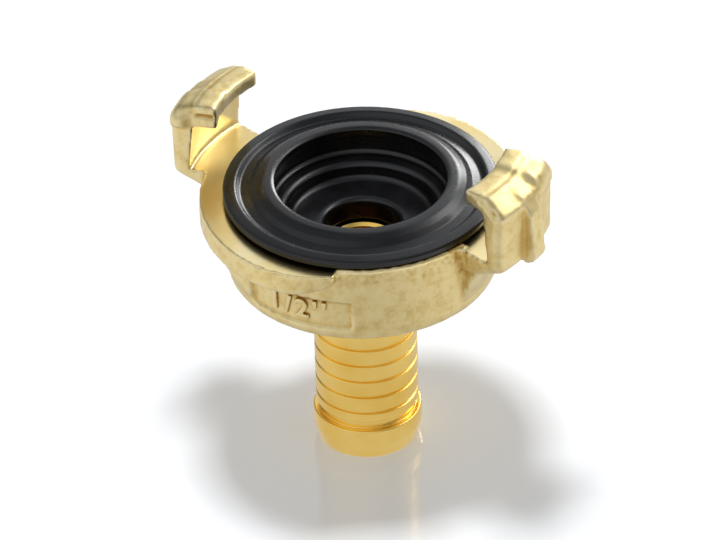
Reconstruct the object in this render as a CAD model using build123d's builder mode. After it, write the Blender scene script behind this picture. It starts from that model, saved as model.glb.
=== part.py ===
"""Claw coupling half with a hose tail: two claws and two inclined flanges at 180 degrees.

Units are millimetres and degrees.  The origin is on the axis at the foot of the hose tail,
+Z points up the axis to the sealing face, and the two claws are centred near +X and -X.
The head is one brass forging, the hose tail is one brass turning that swivels in the head,
and the seal is one rubber moulding that sits in the head over the tail's collar.
"""
import os

from build123d import *

os.makedirs("parts", exist_ok=True)

# ---------------------------------------------------------------- driving dimensions
# Heights up the axis
SHANK_LENGTH = 25.6           # foot of the tail to the underside of the head
HEAD_FLOOR = 3.0              # brass under the tail's collar
COLLAR_THICK = 2.4            # collar of the tail, inside the head
SEAL_DEPTH = 10.4             # sealing face to the underside of the seal
PLAY_BELOW = 0.1              # collar to the head's floor
PLAY_ABOVE = 0.3              # collar to the seal

# Head
CLAW_COUNT = 2                # claws, and flanges, round the head
RIM_DROP = 2.2                # sealing face down to the forged rim
FLAT_DROP = 2.6               # sealing face down to the machined flat of the flanges
WALL_TOP_R = 18.9             # forged wall at the rim
WALL_FOOT_R = 18.2            # forged wall at its foot
WALL_FOOT_RADIUS = 1.8        # forged rounding between the wall and the underside
UNDERSIDE_R = 9.9             # inner end of the sloping underside, at the shank
UNDERSIDE_RISE = 2.1          # its rise from there out to the wall
BORE_CLEARANCE = 0.06         # radial, shank in the head's bore
COLLAR_CLEARANCE = 0.3        # radial, collar in its recess
SEAL_CLEARANCE = 0.1          # radial, seal in its pocket

# Flanges
FLANGE_R = 21.8
FLANGE_THICK = 3.2
FLANGE_START = -12.6          # thick end, under a claw
FLANGE_SPAN = 123.2
TAPER_SPAN = 35.0             # stretch at the thin end whose outer edge draws in
THIN_END_R = 20.0
LEAD_LENGTH = 7.0             # stretch at the thin end whose underside rises
THIN_END_THICK = 1.0

# Webs, which carry the flanges near the claws
WEB_R = 21.2                  # outer end of the web's slope, under the flange
WEB_DROP = 12.0               # sealing face down to where the slope meets the wall
WEB_SPAN = 80.0
WEB_FADE = 40.0               # stretch at its far end that draws in to the wall

# Claws
CLAW_START = -15.3            # clockwise side
CLAW_SPAN = 31.3
POST_FOOT_R = 24.0            # inner wall of the post at the flat
POST_DRAFT = 0.7              # draw-in of that wall up to the lip
POST_THICK = 2.6              # from the foot of that wall to the outer face
LIP_REACH = 4.0               # from the foot of that wall in to the lip's face
LIP_RISE = 5.3                # underside of the lip above the sealing face
LIP_THICK = 2.3
LIP_ROOT_RADIUS = 1.4
STOP_SPAN = 3.5               # stop under the far end of the lip
STOP_DROP = 0.8
CREST_INSET = 0.6             # the top turns down this far inside the post's foot
CREST_FALL = 2.1              # fall of the top from there to the outer face
CLAW_DRAFT = 0.2              # draw-in of the outer face down to the sloping underside
CLAW_FOOT_DROP = 3.4          # sealing face down to the outer end of that underside
CLAW_EDGE = 1.2               # forged rounding of the foot's outer edge
CREST_EDGE = 0.8              # forged rounding of the upper outer edge
CLAW_SIDE_EDGE = 1.2          # rounding of the upright outer edges
LIP_CORNER = 0.4              # rounding of the lip's upper edge
RIB_START = -3.6
RIB_SPAN = 5.8
RIB_PROUD = 1.5               # beyond the claw's outer face
RIB_DROP = 4.4                # sealing face down to the rib's foot
RIB_EDGE = 1.2
RIB_FOOT_RISE = 1.0           # slope of the rib's foot
RIB_SHOULDER = 3.6            # height where the back turns in towards the nose
RIB_DRAFT = 0.5               # draw-in of the back up to that height
RIB_NOSE_RISE = 6.1           # height of the nose, where the rib runs in to the crest
RIB_NOSE_INSET = 0.4          # nose inside the claw's outer face
PAD_START = 4.0               # raised pad on the lip, from here to the claw's far side
PAD_RISE = 0.3

# Sunk panel for the size mark, on the wall
PANEL_START = 247.0
PANEL_SPAN = 49.7
PANEL_HEIGHT = 4.6
PANEL_TOP_DROP = 7.7          # sealing face down to the panel's upper edge
PANEL_DEPTH = 0.4

# Seal
SEAL_HOLE_R = 11.57
SEAL_LIP_FLAT_R = 13.3        # outer edge of the lip's flat
SEAL_LIP_RADIUS = 1.5         # rounding there
SEAL_GROOVE_R = 16.1          # groove at the foot of the lip's long slope
SEAL_BAND_R = 16.9            # inner edge of the outer band
SEAL_FLANGE_R = 18.6
SEAL_FLANGE_THICK = 1.1
SEAL_BODY_R = 16.2
SEAL_GROOVE_DROP = 1.5        # sealing face down to the groove
SEAL_BAND_DROP = 0.85         # sealing face down to the outer band's inner edge
SEAL_LIP_THICK = 1.4
SEAL_UNDERCUT_R = 12.5
SEAL_EDGE = 0.3
UPPER_LEDGE_R = 10.0          # inner edge of the upper ledge
UPPER_LEDGE_DROP = 4.7
LOWER_LEDGE_R = 5.0           # inner edge of the lower ledge
LOWER_LEDGE_DROP = 7.1

# Hose tail
TAIL_R = 7.0
TAIL_BORE_R = 4.3
BORE_CHAMFER = 0.4
COLLAR_R = 12.0
GROOVE_COUNT = 5
GROOVE_PITCH = 2.61
GROOVE_WIDTH = 0.6
GROOVE_DEPTH = 0.42
FIRST_GROOVE = 7.55           # height of the lowest groove
BEAD_R = 7.4
BEAD_TOP = 4.7
BEAD_STRAIGHT = 2.4           # height where the bead's taper starts
FOOT_R = 6.8
RELIEF_R = 6.55               # neck above the bead
RELIEF_WIDTH = 1.3

OVERSHOOT = 1.0               # cutters run this far past the faces they cut

# ---------------------------------------------------------------- derived places
seat_z = SHANK_LENGTH + HEAD_FLOOR
collar_bottom = seat_z + PLAY_BELOW
collar_top = collar_bottom + COLLAR_THICK
seal_bottom = collar_top + PLAY_ABOVE
face_z = seal_bottom + SEAL_DEPTH
rim_z = face_z - RIM_DROP
flat_z = face_z - FLAT_DROP
flange_bottom = flat_z - FLANGE_THICK
wall_foot_z = SHANK_LENGTH + UNDERSIDE_RISE
web_foot_z = face_z - WEB_DROP
lip_bottom = face_z + LIP_RISE
lip_top = lip_bottom + LIP_THICK
pocket_r = SEAL_BODY_R + SEAL_CLEARANCE
in_wall_r = (pocket_r + WALL_FOOT_R) / 2          # a radius inside the brass of the wall
flange_end = FLANGE_START + FLANGE_SPAN
claw_end = CLAW_START + CLAW_SPAN
claw_r = POST_FOOT_R + POST_THICK
claw_foot_r = claw_r - CLAW_DRAFT
claw_foot_z = face_z - CLAW_FOOT_DROP
post_head_r = POST_FOOT_R - POST_DRAFT
lip_r = POST_FOOT_R - LIP_REACH
crest_r = POST_FOOT_R - CREST_INSET
rib_r = claw_r + RIB_PROUD
rib_foot_z = face_z - RIB_DROP
in_post_r = POST_FOOT_R + POST_THICK / 2          # a radius inside the brass of the post


def half_plane(angle):
    """Upright plane through the axis at this angle: across is the radius, up is the height."""
    return Plane(
        origin=(0, 0, 0),
        x_dir=Vector(1, 0, 0).rotate(Axis.Z, angle),
        z_dir=Vector(0, -1, 0).rotate(Axis.Z, angle),
    )


def wall_radius(height):
    """Outer radius of the head's drafted wall at this height."""
    share = (height - wall_foot_z) / (rim_z - wall_foot_z)
    return WALL_FOOT_R + share * (WALL_TOP_R - WALL_FOOT_R)


def from_axis(edge):
    """Distance of an edge's middle from the axis."""
    return Vector(edge.center().X, edge.center().Y).length


def drawn_in_plan(outer_r, end_r, span, drawn_in_span):
    """Plan of a flange or a web: from the wall out to outer_r, drawing in to end_r at the far end."""
    with BuildSketch() as plan:
        with BuildLine():
            outer_arc = CenterArc((0, 0), outer_r, FLANGE_START, span - drawn_in_span)
            inner_arc = CenterArc((0, 0), in_wall_r, FLANGE_START, span)
            tip = Vector(end_r, 0).rotate(Axis.Z, FLANGE_START + span)
            TangentArc(outer_arc @ 1, tip, tangent=outer_arc % 1)
            Line(tip, inner_arc @ 1)
            Line(inner_arc @ 0, outer_arc @ 0)
        make_face()
    return plan.sketch


flange_plan = drawn_in_plan(FLANGE_R, THIN_END_R, FLANGE_SPAN, TAPER_SPAN)
web_plan = drawn_in_plan(WEB_R, wall_radius(flange_bottom), WEB_SPAN, WEB_FADE)

# ---------------------------------------------------------------- one flange
# Its outer edge draws in and its underside rises towards the thin end, which leads the lip
# of a mating claw under it.
with BuildPart() as flange:
    with BuildSketch(Plane.XY.offset(flange_bottom)):
        add(flange_plan)
    extrude(amount=FLANGE_THICK)

    thin_end_face = Plane(
        origin=Vector(in_wall_r, 0, flange_bottom).rotate(Axis.Z, flange_end),
        x_dir=Vector(0, 1, 0).rotate(Axis.Z, flange_end),
        z_dir=Vector(1, 0, 0).rotate(Axis.Z, flange_end),
    )
    with BuildSketch(thin_end_face):
        with BuildLine():
            lead = TangentArc(
                (-LEAD_LENGTH, 0),
                (0, FLANGE_THICK - THIN_END_THICK),
                tangent=(1, 0),
            )
            Polyline(
                lead @ 1,
                (OVERSHOOT, FLANGE_THICK - THIN_END_THICK),
                (OVERSHOOT, -OVERSHOOT),
                (-LEAD_LENGTH, -OVERSHOOT),
                lead @ 0,
            )
        make_face()
    extrude(amount=FLANGE_R, mode=Mode.SUBTRACT)

# ---------------------------------------------------------------- the web under one flange
with BuildPart() as web:
    with BuildSketch(half_plane(FLANGE_START)):
        with BuildLine():
            Polyline(
                (in_wall_r, web_foot_z),
                (wall_radius(web_foot_z), web_foot_z),
                (WEB_R, flange_bottom),
                (in_wall_r, flange_bottom),
                close=True,
            )
        make_face()
    revolve(axis=Axis.Z, revolution_arc=WEB_SPAN)
    with BuildSketch(Plane.XY.offset(web_foot_z)):
        add(web_plan)
    extrude(amount=flange_bottom - web_foot_z, mode=Mode.INTERSECT)

# ---------------------------------------------------------------- one claw
# A hooked section turned about the axis, with a rib down the middle of its back.
with BuildPart() as claw:
    with BuildSketch(half_plane(CLAW_START)):
        claw_corners = [
            (in_wall_r, flange_bottom, 0),
            (FLANGE_R, flange_bottom, 0),
            (claw_foot_r, claw_foot_z, CLAW_EDGE),
            (claw_r, lip_top - CREST_FALL, CREST_EDGE),
            (crest_r, lip_top, 0),
            (lip_r, lip_top, LIP_CORNER),
            (lip_r, lip_bottom, 0),
            (post_head_r, lip_bottom, LIP_ROOT_RADIUS),
            (POST_FOOT_R, flat_z, 0),
            (in_wall_r, flat_z, 0),
        ]
        with BuildLine():
            FilletPolyline(
                [(r, z) for r, z, _ in claw_corners],
                radius=[bend for _, _, bend in claw_corners],
                close=True,
            )
        make_face()
    revolve(axis=Axis.Z, revolution_arc=CLAW_SPAN)
    outer_upright_edges = claw.edges().filter_by(GeomType.LINE).sort_by(from_axis)[-2:]
    fillet(outer_upright_edges, CLAW_SIDE_EDGE)

    with BuildSketch(half_plane(RIB_START)):
        rib_corners = [
            (in_post_r, rib_foot_z + RIB_FOOT_RISE, 0),
            (claw_foot_r, rib_foot_z, 0),
            (rib_r, rib_foot_z + RIB_FOOT_RISE, RIB_EDGE),
            (rib_r - RIB_DRAFT, face_z + RIB_SHOULDER, RIB_EDGE),
            (claw_r - RIB_NOSE_INSET, face_z + RIB_NOSE_RISE, RIB_EDGE),
            (crest_r, lip_top, 0),
        ]
        with BuildLine():
            FilletPolyline(
                [(r, z) for r, z, _ in rib_corners],
                radius=[bend for _, _, bend in rib_corners],
                close=True,
            )
        make_face()
    revolve(axis=Axis.Z, revolution_arc=RIB_SPAN)

    with BuildSketch(half_plane(PAD_START)):
        with BuildLine():
            Polyline(
                (lip_r, lip_top - LIP_CORNER),
                (lip_r, lip_top + PAD_RISE),
                (crest_r, lip_top + PAD_RISE),
                (crest_r, lip_top - LIP_CORNER),
                close=True,
            )
        make_face()
    revolve(axis=Axis.Z, revolution_arc=claw_end - PAD_START)

    with BuildSketch(half_plane(claw_end - STOP_SPAN)):
        with BuildLine():
            Polyline(
                (lip_r, lip_bottom),
                (lip_r, lip_bottom - STOP_DROP),
                (in_post_r, lip_bottom - STOP_DROP),
                (in_post_r, lip_bottom),
                close=True,
            )
        make_face()
    revolve(axis=Axis.Z, revolution_arc=STOP_SPAN)

# ---------------------------------------------------------------- head
with BuildPart() as claw_body:
    with BuildSketch(Plane.XZ):
        with BuildLine():
            outside = FilletPolyline(
                (UNDERSIDE_R, SHANK_LENGTH),
                (WALL_FOOT_R, wall_foot_z),
                (WALL_TOP_R, rim_z),
                radius=WALL_FOOT_RADIUS,
            )
            Polyline(
                outside @ 1,
                (pocket_r, rim_z),
                (pocket_r, seal_bottom),
                (COLLAR_R + COLLAR_CLEARANCE, seal_bottom),
                (COLLAR_R + COLLAR_CLEARANCE, seat_z),
                (TAIL_R + BORE_CLEARANCE, seat_z),
                (TAIL_R + BORE_CLEARANCE, SHANK_LENGTH),
                outside @ 0,
            )
        make_face()
    revolve(axis=Axis.Z)

    with PolarLocations(0, CLAW_COUNT):
        add(flange.part)
        add(web.part)

    # The flanges and what lies inside them are turned flat, below the forged rim.
    for start in [FLANGE_START + 360 / CLAW_COUNT * i for i in range(CLAW_COUNT)]:
        with BuildSketch(half_plane(start)):
            with BuildLine():
                Polyline(
                    (pocket_r - OVERSHOOT, flat_z),
                    (FLANGE_R + OVERSHOOT, flat_z),
                    (FLANGE_R + OVERSHOOT, rim_z + OVERSHOOT),
                    (pocket_r - OVERSHOOT, rim_z + OVERSHOOT),
                    close=True,
                )
            make_face()
        revolve(axis=Axis.Z, revolution_arc=FLANGE_SPAN, mode=Mode.SUBTRACT)

    with PolarLocations(0, CLAW_COUNT):
        add(claw.part)

    # Panel for the size mark
    with BuildSketch(half_plane(PANEL_START)):
        panel_top = face_z - PANEL_TOP_DROP
        panel_foot = panel_top - PANEL_HEIGHT
        with BuildLine():
            Polyline(
                (wall_radius(panel_top) - PANEL_DEPTH, panel_top),
                (FLANGE_R, panel_top),
                (FLANGE_R, panel_foot),
                (wall_radius(panel_foot) - PANEL_DEPTH, panel_foot),
                close=True,
            )
        make_face()
    revolve(axis=Axis.Z, revolution_arc=PANEL_SPAN, mode=Mode.SUBTRACT)

claw_body.part.label = "claw_body"
export_step(claw_body.part, "parts/claw_body.step")

# ---------------------------------------------------------------- seal
with BuildPart() as face_seal:
    with BuildSketch(Plane.XZ):
        seal_corners = [
            (LOWER_LEDGE_R, seal_bottom, 0),
            (SEAL_BODY_R, seal_bottom, SEAL_EDGE),
            (SEAL_BODY_R, rim_z, 0),
            (SEAL_FLANGE_R, rim_z, SEAL_EDGE),
            (SEAL_FLANGE_R, rim_z + SEAL_FLANGE_THICK, SEAL_EDGE),
            (SEAL_BAND_R, face_z - SEAL_BAND_DROP, SEAL_EDGE),
            (SEAL_GROOVE_R, face_z - SEAL_GROOVE_DROP, SEAL_EDGE),
            (SEAL_LIP_FLAT_R, face_z, SEAL_LIP_RADIUS),
            (SEAL_HOLE_R, face_z, SEAL_EDGE),
            (SEAL_HOLE_R, face_z - SEAL_LIP_THICK, SEAL_EDGE),
            (SEAL_UNDERCUT_R, face_z - SEAL_LIP_THICK - SEAL_EDGE, SEAL_EDGE),
            (SEAL_UNDERCUT_R, face_z - UPPER_LEDGE_DROP, SEAL_EDGE),
            (UPPER_LEDGE_R, face_z - UPPER_LEDGE_DROP, SEAL_EDGE),
            (UPPER_LEDGE_R, face_z - LOWER_LEDGE_DROP, SEAL_EDGE),
            (LOWER_LEDGE_R, face_z - LOWER_LEDGE_DROP, SEAL_EDGE),
        ]
        with BuildLine():
            FilletPolyline(
                [(r, z) for r, z, _ in seal_corners],
                radius=[bend for _, _, bend in seal_corners],
                close=True,
            )
        make_face()
    revolve(axis=Axis.Z)

face_seal.part.label = "face_seal"
export_step(face_seal.part, "parts/face_seal.step")

# ---------------------------------------------------------------- hose tail
with BuildPart() as hose_tail:
    with BuildSketch(Plane.XZ):
        with BuildLine():
            Polyline(
                (TAIL_BORE_R, 0),
                (FOOT_R, 0),
                (BEAD_R, BEAD_STRAIGHT),
                (BEAD_R, BEAD_TOP),
                (RELIEF_R, BEAD_TOP),
                (RELIEF_R, BEAD_TOP + RELIEF_WIDTH),
                (TAIL_R, BEAD_TOP + RELIEF_WIDTH),
                (TAIL_R, collar_bottom),
                (COLLAR_R, collar_bottom),
                (COLLAR_R, collar_top),
                (TAIL_BORE_R, collar_top),
                close=True,
            )
        make_face()
    revolve(axis=Axis.Z)

    with BuildSketch(Plane.XZ):
        for i in range(GROOVE_COUNT):
            with Locations((TAIL_R, FIRST_GROOVE + i * GROOVE_PITCH)):
                Rectangle(2 * GROOVE_DEPTH, GROOVE_WIDTH)
    revolve(axis=Axis.Z, mode=Mode.SUBTRACT)

    bore_rims = hose_tail.edges().filter_by(GeomType.CIRCLE).sort_by(SortBy.RADIUS)[:2]
    chamfer(bore_rims, BORE_CHAMFER)

hose_tail.part.label = "hose_tail"
export_step(hose_tail.part, "parts/hose_tail.step")
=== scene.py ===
"""Looks for the claw coupling half: a forged head, a rubber seal and a turned hose tail."""
import math

import bpy
from mathutils import Matrix, Vector, noise


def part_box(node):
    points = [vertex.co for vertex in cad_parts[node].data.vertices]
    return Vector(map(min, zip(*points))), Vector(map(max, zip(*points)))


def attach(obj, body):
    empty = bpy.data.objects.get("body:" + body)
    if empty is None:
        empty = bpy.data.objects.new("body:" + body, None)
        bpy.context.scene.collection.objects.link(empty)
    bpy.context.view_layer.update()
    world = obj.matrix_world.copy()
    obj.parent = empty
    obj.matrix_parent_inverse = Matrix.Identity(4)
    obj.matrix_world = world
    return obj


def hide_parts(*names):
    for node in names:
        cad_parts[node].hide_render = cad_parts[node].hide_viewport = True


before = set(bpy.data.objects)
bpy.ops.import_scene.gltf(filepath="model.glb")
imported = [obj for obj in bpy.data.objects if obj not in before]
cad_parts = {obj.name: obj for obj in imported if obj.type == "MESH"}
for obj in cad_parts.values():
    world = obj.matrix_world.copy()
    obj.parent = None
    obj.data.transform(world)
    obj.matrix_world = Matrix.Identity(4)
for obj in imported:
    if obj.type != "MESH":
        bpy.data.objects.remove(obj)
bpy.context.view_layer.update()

MM = 0.001

# Places read from the frame
face_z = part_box("face_seal")[1][2]            # sealing face
seal_foot_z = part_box("face_seal")[0][2]       # underside of the seal
collar_top_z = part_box("hose_tail")[1][2]      # top of the tail's collar
seal_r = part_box("face_seal")[1][0]            # outer radius of the seal
collar_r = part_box("hose_tail")[1][0]          # radius of the tail's collar

# Sizes of the forging that its finish follows, as the solid has them.  A drop goes down from
# the sealing face and a rise goes up from it.  Angles are degrees from the nearer claw's direction.
FLAT_DROP = 2.6 * MM          # turned flat of the flanges
RIM_DROP = 2.2 * MM
RIM_R = 18.9 * MM             # forged wall at the rim
WALL_FOOT_R = 18.2 * MM       # forged wall at its foot
WALL_FOOT_DROP = 14.1 * MM
POCKET_R = 16.3 * MM
SEAL_CLEARANCE = 0.1 * MM     # radial, seal in its pocket
CREST_R = 23.4 * MM           # where the top of a claw turns down
POST_R = 24.0 * MM            # foot of the post's inner wall
CLAW_START, CLAW_END = -15.3, 16.0
FLANGE_START = -12.6
LIP_RISE = 5.3 * MM           # underside of the lip

# What the lathe has cut of the head
TURNED_NEAR = 0.12 * MM       # a point this near to a turned surface is on it
TURNED_POCKET_R = POCKET_R + 0.4 * MM
TURNED_WALL_DRAFT = 0.85 * MM                 # reach inwards of the post's drawn-in wall
TURNED_WALL_FOOT = -FLAT_DROP - 0.2 * MM
TURNED_WALL_TOP = LIP_RISE - 0.9 * MM         # below the rounding under the lip
TURNED_WALL_SIDE = 0.3                        # degrees left alone at each end of the post

# Finish of the forging.  Depths are in millimetres.
HEAD_VOXEL = 0.28 * MM
EDGE_SOFTENING = 4            # rounds of smoothing all over
TURNED_SOFTENING = 0.25       # share of it that the turned surfaces take
CROWN_SOFTENING = 12          # further rounds on the tops of the claws
CROWN_SOFT_RISE = LIP_RISE + 1.2 * MM         # they are in full above this
CROWN_SIDE = 1.5                              # degrees over which they fade at the claw's ends
SKIN = [(0.03, 3.5 * MM, 0.0), (0.018, 1.3 * MM, 7.0), (0.012, 0.6 * MM, 3.0)]    # depth, size, seed
RIM_SKIN = [(0.10, 0.7 * MM, 11.0), (0.06, 0.35 * MM, 5.0)]
RIM_SKIN_START = -68.0        # from here round to the next flange's thick end
RIM_SKIN_END = FLANGE_START - 3.0
RIM_SKIN_DROP = 4.6 * MM
RIM_SKIN_R = 20.5 * MM        # it stays inside this radius
VALLEY_R = CREST_R - 0.35 * MM                # valley between the lip's flat top and the crest
VALLEY_RISE = 6.5 * MM
VALLEY_HALF_WIDTH = 0.55 * MM
VALLEY_DEPTH = 0.16
CROWN_R = 25.2 * MM           # fuller outer top on the far side of the rib
CROWN_START = 5.5
CROWN_RISE = 4.4 * MM
CROWN_HALF_WIDTH = 1.9 * MM
CROWN_HEIGHT = 0.7
PIT_R = 25.4 * MM             # pit at the clockwise end, under the outer corner
PIT_RISE = 6.1 * MM
PIT_HALF_WIDTH = 0.9 * MM
PIT_DEPTH = 0.45
SLOT_START_R, SLOT_END_R = 20.6 * MM, 22.6 * MM    # slot across the lip's other end
SLOT_RISE = 6.4 * MM
SLOT_SPAN = 1.2
SLOT_HALF_WIDTH = 0.45 * MM
SLOT_DEPTH = 0.45

# Panel for the size mark, on the wall, and the mark
PANEL_MIDDLE = 271.8          # degrees round from +X
PANEL_TOP_DROP = 7.7 * MM
PANEL_HEIGHT = 4.6 * MM
PANEL_DEPTH = 0.4 * MM
MARK_SIZE = 4.1 * MM
MARK_RELIEF = 0.33 * MM
MARK_BOLDNESS = 0.13 * MM     # swells the strokes by this much all round
MARK_SPACING = 1.25
MARK_VOXEL = 0.09 * MM

# Sides of the lathed rings
SEAL_SIDES = 256
TAIL_SIDES = 160

# Camera, and the directions that go with it
CAMERA_AZIMUTH = math.radians(32.0)
CAMERA_ELEVATION = math.radians(35.23)
CAMERA_ROLL = math.radians(-1.78)
CAMERA_DISTANCE = 1.1464
CAMERA_LENS = 426.75
AIM_DROP = 15.3 * MM          # point looked at, below the sealing face
AIM_LEFT = 0.76 * MM          # and this far to the camera's left of the axis
ACROSS = Vector((math.cos(CAMERA_AZIMUTH), math.sin(CAMERA_AZIMUTH), 0))     # to the camera's right
AWAY = Vector((-math.sin(CAMERA_AZIMUTH), math.cos(CAMERA_AZIMUTH), 0))      # level, away from it

# Setting
FLOOR_SIZE = 6.0
FLOOR_GLOW = 0.20             # keeps the floor's shadow a soft grey
SKY_SIDE = math.radians(45.0)                 # bright side of the sky, right of straight away
DULL_LIGHT = 0.30             # the sky as it lights dull surfaces

# Colour sockets of a Mix node
MIX_A, MIX_B, MIX_RESULT = 6, 7, 2


# ------------------------------------------------------------------ mesh tools
def link(name, mesh):
    piece = bpy.data.objects.new(name, mesh)
    bpy.context.collection.objects.link(piece)
    return piece


def apply_modifiers(piece):
    depsgraph = bpy.context.evaluated_depsgraph_get()
    mesh = bpy.data.meshes.new_from_object(piece.evaluated_get(depsgraph))
    piece.modifiers.clear()
    piece.data = mesh


def copy_of_node(name, node_name):
    """A loose copy of a CAD node's mesh, at its place, with no material."""
    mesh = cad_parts[node_name].data.copy()
    mesh.materials.clear()
    return link(name, mesh)


def remeshed(piece, voxel):
    """Even quads all over, which take smoothing and dents alike."""
    remesh = piece.modifiers.new("remesh", "REMESH")
    remesh.mode = "VOXEL"
    remesh.voxel_size = voxel
    remesh.use_smooth_shade = True
    apply_modifiers(piece)


def smoothed(piece, rounds, weight_of=None):
    """Softens the edges, everywhere or by a weight between 0 and 1 at each point."""
    smooth = piece.modifiers.new("smooth", "SMOOTH")
    smooth.factor = 0.5
    smooth.iterations = rounds
    if weight_of is not None:
        group = piece.vertex_groups.new(name="soften")
        for vertex in piece.data.vertices:
            weight = weight_of(vertex.co)
            if weight > 0:
                group.add([vertex.index], weight, "REPLACE")
        smooth.vertex_group = "soften"
    apply_modifiers(piece)
    piece.vertex_groups.clear()


def shade_smooth(mesh):
    mesh.polygons.foreach_set("use_smooth", [True] * len(mesh.polygons))


def rounded(corners, steps=6, longest=0.5 * MM):
    """Points round a closed outline of (radius, height, rounding) corners, as (radius, height).

    Each rounding is an arc of this many steps.  Long straight stretches are divided, so that
    smooth shading keeps them flat.
    """
    arcs = []
    for i, (radius, height, bend) in enumerate(corners):
        corner = Vector((radius, height))
        before = (Vector(corners[i - 1][:2]) - corner).normalized()
        after = (Vector(corners[(i + 1) % len(corners)][:2]) - corner).normalized()
        half = before.angle(after) / 2
        start = corner + before * bend / math.tan(half)
        finish = corner + after * bend / math.tan(half)
        middle = corner + (before + after).normalized() * bend / math.sin(half)
        turn = (start - middle).angle_signed(finish - middle)
        arcs.append([
            middle + Matrix.Rotation(-turn * step / steps, 2) @ (start - middle)
            for step in range(steps + 1)
        ])
    points = []
    for arc, following in zip(arcs, arcs[1:] + arcs[:1]):
        points += arc
        run = following[0] - arc[-1]
        parts = max(3, math.ceil(run.length / longest))
        points += [arc[-1] + run * share / parts for share in range(1, parts)]
    return points


def lathed(name, corners, sides):
    """A ring turned about the axis from a closed outline.

    Its corners are (radius, height, rounding), in millimetres.
    """
    outline = rounded([(r * MM, z * MM, bend * MM) for r, z, bend in corners])
    count = len(outline)
    vertices = []
    for side in range(sides):
        angle = 2 * math.pi * side / sides
        vertices += [(p.x * math.cos(angle), p.x * math.sin(angle), p.y) for p in outline]
    faces = []
    for side in range(sides):
        here, there = side * count, (side + 1) % sides * count
        for i in range(count):
            j = (i + 1) % count
            faces.append((here + i, there + i, there + j, here + j))
    mesh = bpy.data.meshes.new(name)
    mesh.from_pydata(vertices, [], faces)
    shade_smooth(mesh)
    return link(name, mesh)


def bell(value, middle, half_width):
    """1 at the middle, falling smoothly to 0 at half_width on each side."""
    share = abs(value - middle) / half_width
    return 0.0 if share >= 1.0 else (1.0 - share * share) ** 2


def plateau(value, low, high, edge):
    """1 between low and high, falling to 0 over edge outside them."""
    if value < low:
        return max(0.0, 1.0 - (low - value) / edge)
    if value > high:
        return max(0.0, 1.0 - (value - high) / edge)
    return 1.0


def around(point):
    """Distance from the axis, degrees from the nearer claw's direction, and height over the face."""
    radius = math.hypot(point.x, point.y)
    degrees = math.degrees(math.atan2(point.y, point.x))
    return radius, (degrees + 90.0) % 180.0 - 90.0, point.z - face_z


def ripples(point, layers):
    """Smooth noise in layers of (depth, size, seed), each between -depth and depth."""
    return sum(
        depth * noise.noise(point / size + Vector((seed, seed, seed)))
        for depth, size, seed in layers
    )


# ------------------------------------------------------------------ the head
def is_turned(point):
    """The surfaces that the lathe has cut: the flats, the posts' inner walls, the pocket and the bore."""
    radius, degrees, height = around(point)
    on_flat = abs(height + FLAT_DROP) < TURNED_NEAR and radius < POST_R
    on_post = (
        POST_R - TURNED_WALL_DRAFT < radius < POST_R + TURNED_NEAR
        and TURNED_WALL_FOOT < height < TURNED_WALL_TOP
        and CLAW_START + TURNED_WALL_SIDE < degrees < CLAW_END - TURNED_WALL_SIDE
    )
    return radius < TURNED_POCKET_R or on_flat or on_post


def forging_dent(point):
    """How far the forged surface stands in (-) or out (+) at this point, in millimetres."""
    radius, degrees, height = around(point)
    dent = ripples(point, SKIN)

    # Rougher skin close to the rim, between the thin end of one flange and the next claw
    if radius < RIM_SKIN_R:
        share = plateau(degrees, RIM_SKIN_START, RIM_SKIN_END, edge=4.0)
        share *= plateau(height, -RIM_SKIN_DROP, -RIM_DROP, edge=1.2 * MM)
        dent += share * ripples(point, RIM_SKIN)

    # Valley in the top, where the lip's flat meets the crest of the claw
    if height > VALLEY_RISE and CLAW_START < degrees < CLAW_END:
        dent -= VALLEY_DEPTH * bell(radius, VALLEY_R, VALLEY_HALF_WIDTH)

    # Fuller outer top
    if height > CROWN_RISE:
        share = plateau(degrees, CROWN_START, CLAW_END, edge=3.0)
        dent += CROWN_HEIGHT * bell(radius, CROWN_R, CROWN_HALF_WIDTH) * share

    # Pit
    start = math.radians(CLAW_START)
    pit = Vector((PIT_R * math.cos(start), PIT_R * math.sin(start), 0))
    in_plan = Vector((point.x, point.y, 0)) * (1 if point.x > 0 else -1)
    away = math.hypot((in_plan - pit).length, height - PIT_RISE)
    dent -= PIT_DEPTH * bell(away, 0.0, PIT_HALF_WIDTH)

    # Slot
    if degrees > CLAW_END - SLOT_SPAN:
        share = plateau(radius, SLOT_START_R, SLOT_END_R, edge=0.6 * MM)
        dent -= SLOT_DEPTH * bell(height, SLOT_RISE, SLOT_HALF_WIDTH) * share
    return dent


def crown_softness(point):
    """Weight of the further softening on the tops of the claws."""
    _, degrees, height = around(point)
    in_claw = plateau(degrees, CLAW_START + CROWN_SIDE, CLAW_END - CROWN_SIDE, edge=CROWN_SIDE)
    return in_claw * plateau(height, CROWN_SOFT_RISE, math.inf, edge=1.0 * MM)


def forged_head(forged, turned):
    """The head with its edges softened and its skin dented, turned surfaces apart."""
    head = copy_of_node("forged_head", "claw_body")
    remeshed(head, HEAD_VOXEL)
    smoothed(head, EDGE_SOFTENING, lambda point: TURNED_SOFTENING if is_turned(point) else 1.0)
    smoothed(head, CROWN_SOFTENING, crown_softness)
    mesh = head.data
    normals = [vertex.normal.copy() for vertex in mesh.vertices]
    for vertex, normal in zip(mesh.vertices, normals):
        if not is_turned(vertex.co):
            vertex.co = vertex.co + normal * forging_dent(vertex.co) * MM
    mesh.materials.append(forged)
    mesh.materials.append(turned)
    for face in mesh.polygons:
        face.material_index = 1 if is_turned(face.center) else 0
    shade_smooth(mesh)
    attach(head, "head")
    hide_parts("claw_body")


def wall_radius(drop):
    """Radius of the forged wall this far below the sealing face."""
    share = (drop - RIM_DROP) / (WALL_FOOT_DROP - RIM_DROP)
    return RIM_R + share * (WALL_FOOT_R - RIM_R)


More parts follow.
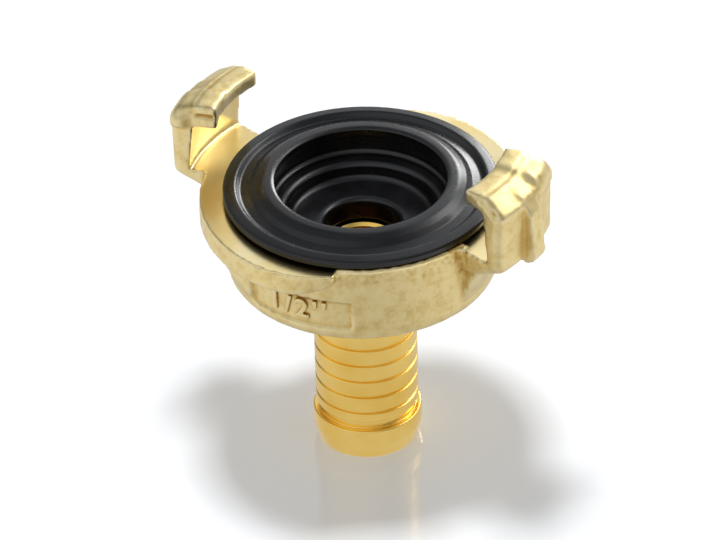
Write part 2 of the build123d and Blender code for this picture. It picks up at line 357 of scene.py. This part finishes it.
def size_mark(forged):
    """Plain raised numerals in the panel: the inside of the hose, in inches."""
    letters = bpy.data.curves.new("size_mark", "FONT")
    letters.body = "1/2''"
    letters.size = MARK_SIZE
    letters.align_x = "CENTER"
    letters.align_y = "CENTER"
    letters.extrude = MARK_RELIEF
    letters.offset = MARK_BOLDNESS
    letters.space_character = MARK_SPACING
    written = link("size_mark", letters)
    depsgraph = bpy.context.evaluated_depsgraph_get()
    mesh = bpy.data.meshes.new_from_object(written.evaluated_get(depsgraph))
    bpy.data.objects.remove(written)
    mark = link("size_mark", mesh)
    remeshed(mark, MARK_VOXEL)
    smoothed(mark, 3)
    middle_drop = PANEL_TOP_DROP + PANEL_HEIGHT / 2
    for vertex in mark.data.vertices:
        across, up, out = vertex.co
        drop = middle_drop - up
        panel_r = wall_radius(drop) - PANEL_DEPTH
        angle = math.radians(PANEL_MIDDLE) + across / panel_r
        radius = panel_r + out
        vertex.co = (radius * math.cos(angle), radius * math.sin(angle), face_z - drop)
    mark.data.materials.append(forged)
    shade_smooth(mark.data)
    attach(mark, "head")


# ------------------------------------------------------------------ the seal
def rubber_seal(rubber):
    """The moulded ring: a lip round the mouth, a broad slope down to a groove, and an outer band.

    All in millimetres, and drops go down from the sealing face.
    """
    bore_r, ledge_r, mouth_r, undercut_r = 5.0, 10.0, 11.57, 12.5
    lip_r, slope_top_r, slope_middle_r, slope_foot_r = 12.1, 13.2, 14.2, 15.0
    groove_r, band_r, outer_r = 16.25, 16.95, seal_r / MM
    body_r = (POCKET_R - SEAL_CLEARANCE) / MM
    slope_top_drop, slope_middle_drop, slope_foot_drop = 0.1, 0.6, 1.2
    groove_drop, band_drop, outer_drop = 1.55, 0.82, 1.15
    lip_edge_drop, lip_foot_drop, undercut_drop = 0.25, 1.4, 1.9
    ledge_foot_drop, ledge_drop, lower_ledge_drop = 4.5, 4.75, 7.1
    foot, face, seat = seal_foot_z / MM, face_z / MM, (face_z - RIM_DROP) / MM
    seal = lathed("rubber_seal", [
        (bore_r, foot, 0.3),
        (body_r, foot, 0.3),
        (body_r, seat, 0.05),
        (outer_r, seat, 0.3),
        (outer_r, face - outer_drop, 0.4),
        (band_r, face - band_drop, 0.5),
        (groove_r, face - groove_drop, 0.4),
        (slope_foot_r, face - slope_foot_drop, 0.8),
        (slope_middle_r, face - slope_middle_drop, 0.8),
        (slope_top_r, face - slope_top_drop, 1.8),
        (lip_r, face, 1.0),
        (mouth_r, face - lip_edge_drop, 0.3),
        (mouth_r, face - lip_foot_drop, 0.4),
        (undercut_r, face - undercut_drop, 0.4),
        (undercut_r, face - ledge_foot_drop, 0.9),
        (ledge_r, face - ledge_drop, 1.0),
        (ledge_r, face - lower_ledge_drop, 1.0),
        (bore_r, face - lower_ledge_drop, 0.8),
    ], SEAL_SIDES)
    seal.data.materials.append(rubber)
    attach(seal, "head")
    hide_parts("face_seal")


# ------------------------------------------------------------------ the hose tail
def turned_tail(brass):
    """The tail with its bead, relief, soft grooves and collar, and the bore through it.

    All in millimetres, and heights go up from the foot.
    """
    tail_r, bore_r, foot_r, bead_r, relief_r = 7.0, 4.3, 6.8, 7.4, 6.55
    bead_straight, bead_top, relief_top = 2.4, 4.7, 6.0
    first_groove, groove_pitch, groove_count = 7.55, 2.61, 5
    groove_half_width, groove_floor_half_width, groove_depth = 0.27, 0.1, 0.34
    chamfer, collar_thick = 0.4, 2.4
    collar_top = collar_top_z / MM
    collar_bottom = collar_top - collar_thick
    corners = [
        (bore_r, chamfer, 0.05),
        (bore_r + chamfer, 0, 0.05),
        (foot_r, 0, 0.3),
        (bead_r, bead_straight, 0.8),
        (bead_r, bead_top, 0.25),
        (relief_r, bead_top, 0.15),
        (relief_r, relief_top, 0.2),
        (tail_r, relief_top, 0.15),
    ]
    for i in range(groove_count):
        middle = first_groove + i * groove_pitch
        corners += [
            (tail_r, middle - groove_half_width, 0.12),
            (tail_r - groove_depth, middle - groove_floor_half_width, 0.08),
            (tail_r - groove_depth, middle + groove_floor_half_width, 0.08),
            (tail_r, middle + groove_half_width, 0.12),
        ]
    corners += [
        (tail_r, collar_bottom, 0.1),
        (collar_r / MM, collar_bottom, 0.2),
        (collar_r / MM, collar_top, 0.2),
        (bore_r + chamfer, collar_top, 0.05),
        (bore_r, collar_top - chamfer, 0.05),
    ]
    tail = lathed("turned_tail", corners, TAIL_SIDES)
    tail.data.materials.append(brass)
    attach(tail, "tail")
    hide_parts("hose_tail")


# ------------------------------------------------------------------ node tools
def new_material(name):
    """A material with a Principled shader; returns it with its nodes, links and shader."""
    material = bpy.data.materials.new(name)
    material.use_nodes = True
    nodes, links = material.node_tree.nodes, material.node_tree.links
    return material, nodes, links, nodes["Principled BSDF"]


def object_coordinates(nodes):
    return nodes.new("ShaderNodeTexCoord").outputs["Object"]


def noise_texture(nodes, links, scale, detail=3.0, roughness=0.5):
    texture = nodes.new("ShaderNodeTexNoise")
    texture.inputs["Scale"].default_value = scale
    texture.inputs["Detail"].default_value = detail
    texture.inputs["Roughness"].default_value = roughness
    links.new(object_coordinates(nodes), texture.inputs["Vector"])
    return texture.outputs["Fac"]


def grey(value):
    return (value, value, value)


def color_ramp(nodes, links, source, stops):
    """A colour by a value, from stops of (value, colour)."""
    ramp = nodes.new("ShaderNodeValToRGB")
    while len(ramp.color_ramp.elements) < len(stops):
        ramp.color_ramp.elements.new(0.5)
    for element, (place, color) in zip(ramp.color_ramp.elements, stops):
        element.position = place
        element.color = (*color, 1.0)
    links.new(source, ramp.inputs["Fac"])
    return ramp.outputs["Color"]


def color_mix(nodes, blend="MIX"):
    mix = nodes.new("ShaderNodeMix")
    mix.data_type = "RGBA"
    mix.blend_type = blend
    return mix


def multiplied(nodes, links, color_a, color_b):
    mix = color_mix(nodes, "MULTIPLY")
    mix.inputs["Factor"].default_value = 1.0
    links.new(color_a, mix.inputs[MIX_A])
    links.new(color_b, mix.inputs[MIX_B])
    return mix.outputs[MIX_RESULT]


def value_range(nodes, links, source, low, high, from_low=0.0, from_high=1.0):
    """The value carried over from one range to another, and held at its ends."""
    remap = nodes.new("ShaderNodeMapRange")
    remap.inputs["From Min"].default_value = from_low
    remap.inputs["From Max"].default_value = from_high
    remap.inputs["To Min"].default_value = low
    remap.inputs["To Max"].default_value = high
    links.new(source, remap.inputs["Value"])
    return remap.outputs["Result"]


def along(nodes, links, vector, direction):
    """How far a vector reaches in a direction."""
    product = nodes.new("ShaderNodeVectorMath")
    product.operation = "DOT_PRODUCT"
    links.new(vector, product.inputs[0])
    product.inputs[1].default_value = direction
    return product.outputs["Value"]


def computed(nodes, links, operation, source):
    """A Math node with the source as its first value; its second value is left to the caller."""
    node = nodes.new("ShaderNodeMath")
    node.operation = operation
    links.new(source, node.inputs[0])
    return node


def bump(nodes, links, height, strength, distance, normal=None):
    node = nodes.new("ShaderNodeBump")
    node.inputs["Strength"].default_value = strength
    node.inputs["Distance"].default_value = distance
    links.new(height, node.inputs["Height"])
    if normal is not None:
        links.new(normal, node.inputs["Normal"])
    return node.outputs["Normal"]


# ------------------------------------------------------------------ materials
def forged_brass():
    """Pale satin brass, mottled all over, with painted shade: deeper gold in its hollows and corners, and
    paler on its ridges and edges.
    """
    material, nodes, links, shader = new_material("forged_brass_look")
    mottle = noise_texture(nodes, links, scale=520.0, detail=5.0, roughness=0.65)
    # Painted shade: by the mesh's pointiness, the colour turns deeper gold in hollows and creases and
    # paler on ridges and edges.
    hollow = nodes.new("ShaderNodeNewGeometry").outputs["Pointiness"]
    painted_hollow_shade = color_ramp(nodes, links, hollow, [
        (0.455, (0.58, 0.36, 0.09)),
        (0.495, (0.84, 0.70, 0.36)),
        (0.56, (0.90, 0.81, 0.54)),
    ])
    by_mottle = color_ramp(nodes, links, mottle, [
        (0.32, (0.78, 0.69, 0.50)),
        (0.52, (0.95, 0.92, 0.84)),
        (0.72, grey(1.0)),
    ])
    # Painted shade: darker, browner gold where surfaces close in on each other, in corners, creases and
    # round the numerals.
    corner = nodes.new("ShaderNodeAmbientOcclusion")
    corner.samples = 8
    corner.inputs["Distance"].default_value = 1.1 * MM
    painted_corner_shade = color_ramp(nodes, links, corner.outputs["AO"], [
        (0.40, (0.62, 0.44, 0.18)),
        (0.70, (0.88, 0.80, 0.62)),
        (0.92, grey(1.0)),
    ])
    # The painted hollow shade times the random mottle, and then times the painted corner shade.
    shaded_and_mottled = multiplied(nodes, links, painted_hollow_shade, by_mottle)
    links.new(multiplied(nodes, links, shaded_and_mottled, painted_corner_shade), shader.inputs["Base Color"])
    shader.inputs["Metallic"].default_value = 1.0
    roughness = value_range(nodes, links, mottle, 0.34, 0.46, from_low=0.3, from_high=0.7)
    links.new(roughness, shader.inputs["Roughness"])
    grain = noise_texture(nodes, links, scale=3400.0, roughness=0.7)
    soft = bump(nodes, links, mottle, 0.5, 0.10 * MM)
    links.new(bump(nodes, links, grain, 0.35, 0.05 * MM, soft), shader.inputs["Normal"])
    return material


def turned_brass(name, low, high, roughness, anisotropy):
    """Bright gold brass between two colours, with the fine rings that a lathe leaves."""
    material, nodes, links, shader = new_material(name)
    stain = noise_texture(nodes, links, scale=160.0, detail=2.0)
    color = color_ramp(nodes, links, stain, [(0.35, low), (0.65, high)])
    links.new(color, shader.inputs["Base Color"])
    shader.inputs["Metallic"].default_value = 1.0
    shader.inputs["Roughness"].default_value = roughness
    shader.inputs["Anisotropic"].default_value = anisotropy
    tangent = nodes.new("ShaderNodeTangent")
    tangent.direction_type = "RADIAL"
    tangent.axis = "Z"
    links.new(tangent.outputs["Tangent"], shader.inputs["Tangent"])
    rings = nodes.new("ShaderNodeTexWave")
    rings.wave_type = "BANDS"
    rings.bands_direction = "Z"
    rings.inputs["Scale"].default_value = 900.0
    rings.inputs["Distortion"].default_value = 0.6
    links.new(object_coordinates(nodes), rings.inputs["Vector"])
    links.new(bump(nodes, links, rings.outputs["Fac"], 0.15, 0.02 * MM), shader.inputs["Normal"])
    return material


def seal_rubber():
    """Black moulded rubber with a soft sheen and faint dull patches."""
    material, nodes, links, shader = new_material("seal_rubber_look")
    bloom = noise_texture(nodes, links, scale=260.0)
    color = color_ramp(nodes, links, bloom, [
        (0.35, (0.003, 0.003, 0.0035)),
        (0.70, (0.007, 0.007, 0.008)),
    ])
    links.new(color, shader.inputs["Base Color"])
    links.new(value_range(nodes, links, bloom, 0.22, 0.32), shader.inputs["Roughness"])
    shader.inputs["Specular IOR Level"].default_value = 0.5
    grain = noise_texture(nodes, links, scale=2600.0, detail=2.0)
    links.new(bump(nodes, links, grain, 0.2, 0.03 * MM), shader.inputs["Normal"])
    return material


# ------------------------------------------------------------------ setting
def from_camera(right, away, up):
    """A place given by its distances to the camera's right, away from the camera and up."""
    return ACROSS * right + AWAY * away + Vector((0, 0, up))


def white_floor():
    """A white floor with a faint polish, which glows a little to the camera.

    Shiny surfaces see it as plain white, greyer straight in front of the object and behind it.
    """
    material, nodes, links, shader = new_material("floor_look")
    shader.inputs["Base Color"].default_value = (0.90, 0.93, 0.98, 1)
    shader.inputs["Roughness"].default_value = 0.12
    paths = nodes.new("ShaderNodeLightPath")
    share = computed(nodes, links, "MULTIPLY", paths.outputs["Is Camera Ray"])
    share.inputs[1].default_value = FLOOR_GLOW
    glow = nodes.new("ShaderNodeEmission")
    links.new(share.outputs[0], glow.inputs["Strength"])
    seen = nodes.new("ShaderNodeAddShader")
    links.new(shader.outputs[0], seen.inputs[0])
    links.new(glow.outputs[0], seen.inputs[1])
    sideways = computed(nodes, links, "ABSOLUTE", along(nodes, links, object_coordinates(nodes), ACROSS))
    mirrored = nodes.new("ShaderNodeEmission")
    links.new(color_ramp(nodes, links, sideways.outputs[0], [
        (0.02, grey(0.70)),
        (0.06, grey(1.00)),
    ]), mirrored.inputs["Color"])
    surface = nodes.new("ShaderNodeMixShader")
    links.new(paths.outputs["Is Glossy Ray"], surface.inputs["Fac"])
    links.new(seen.outputs[0], surface.inputs[1])
    links.new(mirrored.outputs[0], surface.inputs[2])
    links.new(surface.outputs[0], nodes["Material Output"].inputs["Surface"])
    bpy.ops.mesh.primitive_plane_add(size=FLOOR_SIZE, location=(0, 0, 0))
    floor = bpy.context.object
    floor.name = "floor"
    floor.data.materials.append(material)


def soft_world():
    """White to the camera, and an even grey light to dull surfaces.

    Shiny surfaces see a sky that is darker at the horizon and along a band across it.
    """
    world = bpy.data.worlds.new("studio")
    bpy.context.scene.world = world
    world.use_nodes = True
    nodes, links = world.node_tree.nodes, world.node_tree.links
    direction = nodes.new("ShaderNodeTexCoord").outputs["Generated"]
    by_height = color_ramp(nodes, links, along(nodes, links, direction, (0, 0, 1)), [
        (0.00, grey(0.30)),
        (0.22, (0.60, 0.61, 0.63)),
        (0.42, (0.96, 0.98, 1.00)),
        (0.75, (0.94, 0.97, 1.00)),
        (1.00, (0.86, 0.90, 0.96)),
    ])
    side = along(nodes, links, direction, from_camera(math.sin(SKY_SIDE), math.cos(SKY_SIDE), 0.0))
    by_side = color_ramp(nodes, links, value_range(nodes, links, side, 0, 1, from_low=-1), [
        (0.00, grey(1.00)),
        (0.25, grey(0.80)),
        (0.50, grey(0.28)),
        (0.64, grey(0.38)),
        (0.76, grey(1.00)),
    ])
    paths = nodes.new("ShaderNodeLightPath")
    for_metal = color_mix(nodes)
    links.new(paths.outputs["Is Glossy Ray"], for_metal.inputs["Factor"])
    for_metal.inputs[MIX_A].default_value = (*grey(DULL_LIGHT), 1)
    links.new(multiplied(nodes, links, by_height, by_side), for_metal.inputs[MIX_B])
    for_camera = color_mix(nodes)
    links.new(paths.outputs["Is Camera Ray"], for_camera.inputs["Factor"])
    links.new(for_metal.outputs[MIX_RESULT], for_camera.inputs[MIX_A])
    for_camera.inputs[MIX_B].default_value = (1, 1, 1, 1)
    background = nodes["Background"]
    links.new(for_camera.outputs[MIX_RESULT], background.inputs["Color"])
    background.inputs["Strength"].default_value = 1.0


def softbox(name, place, size, watts, mirrored):
    """A square lamp that is either mirrored in shiny surfaces or lights the dull ones."""
    lamp = bpy.data.lights.new(name, "AREA")
    lamp.size = size
    lamp.energy = watts
    holder = bpy.data.objects.new(name, lamp)
    bpy.context.collection.objects.link(holder)
    holder.visible_glossy = mirrored
    holder.visible_diffuse = not mirrored
    holder.location = place
    holder.rotation_euler = (Vector((0, 0, face_z)) - place).to_track_quat("-Z", "Y").to_euler()


def photo_camera():
    """A long lens set to give the photo's view, a little rolled."""
    back = -AWAY * math.cos(CAMERA_ELEVATION) + Vector((0, 0, math.sin(CAMERA_ELEVATION)))
    aim = Vector((0, 0, face_z - AIM_DROP)) - ACROSS * AIM_LEFT
    data = bpy.data.cameras.new("camera")
    data.lens = CAMERA_LENS
    data.sensor_width = 36.0
    data.clip_start = 0.05
    data.clip_end = 20.0
    camera = bpy.data.objects.new("camera", data)
    bpy.context.collection.objects.link(camera)
    level = (-back).to_track_quat("-Z", "Y").to_matrix().to_4x4()
    rolled = level @ Matrix.Rotation(CAMERA_ROLL, 4, "Z")
    camera.matrix_world = Matrix.Translation(aim + back * CAMERA_DISTANCE) @ rolled
    bpy.context.scene.camera = camera


forged = forged_brass()
machined = turned_brass(
    "machined_brass_look", low=(0.88, 0.69, 0.31), high=(0.93, 0.79, 0.46), roughness=0.30, anisotropy=0.7
)
turned = turned_brass(
    "turned_brass_look", low=(0.93, 0.60, 0.13), high=(0.98, 0.69, 0.20), roughness=0.24, anisotropy=0.5
)
forged_head(forged, machined)
size_mark(forged)
rubber_seal(seal_rubber())
turned_tail(turned)

white_floor()
soft_world()
softbox("overhead", from_camera(-0.01, 0.05, 0.50), size=0.09, watts=1.55, mirrored=False)
softbox("right_back", from_camera(0.19, 0.465, 0.23), size=0.16, watts=0.90, mirrored=True)
softbox("right", from_camera(0.32, 0.18, 0.36), size=0.20, watts=0.50, mirrored=True)
photo_camera()
bpy.context.scene.view_settings.view_transform = "Standard"
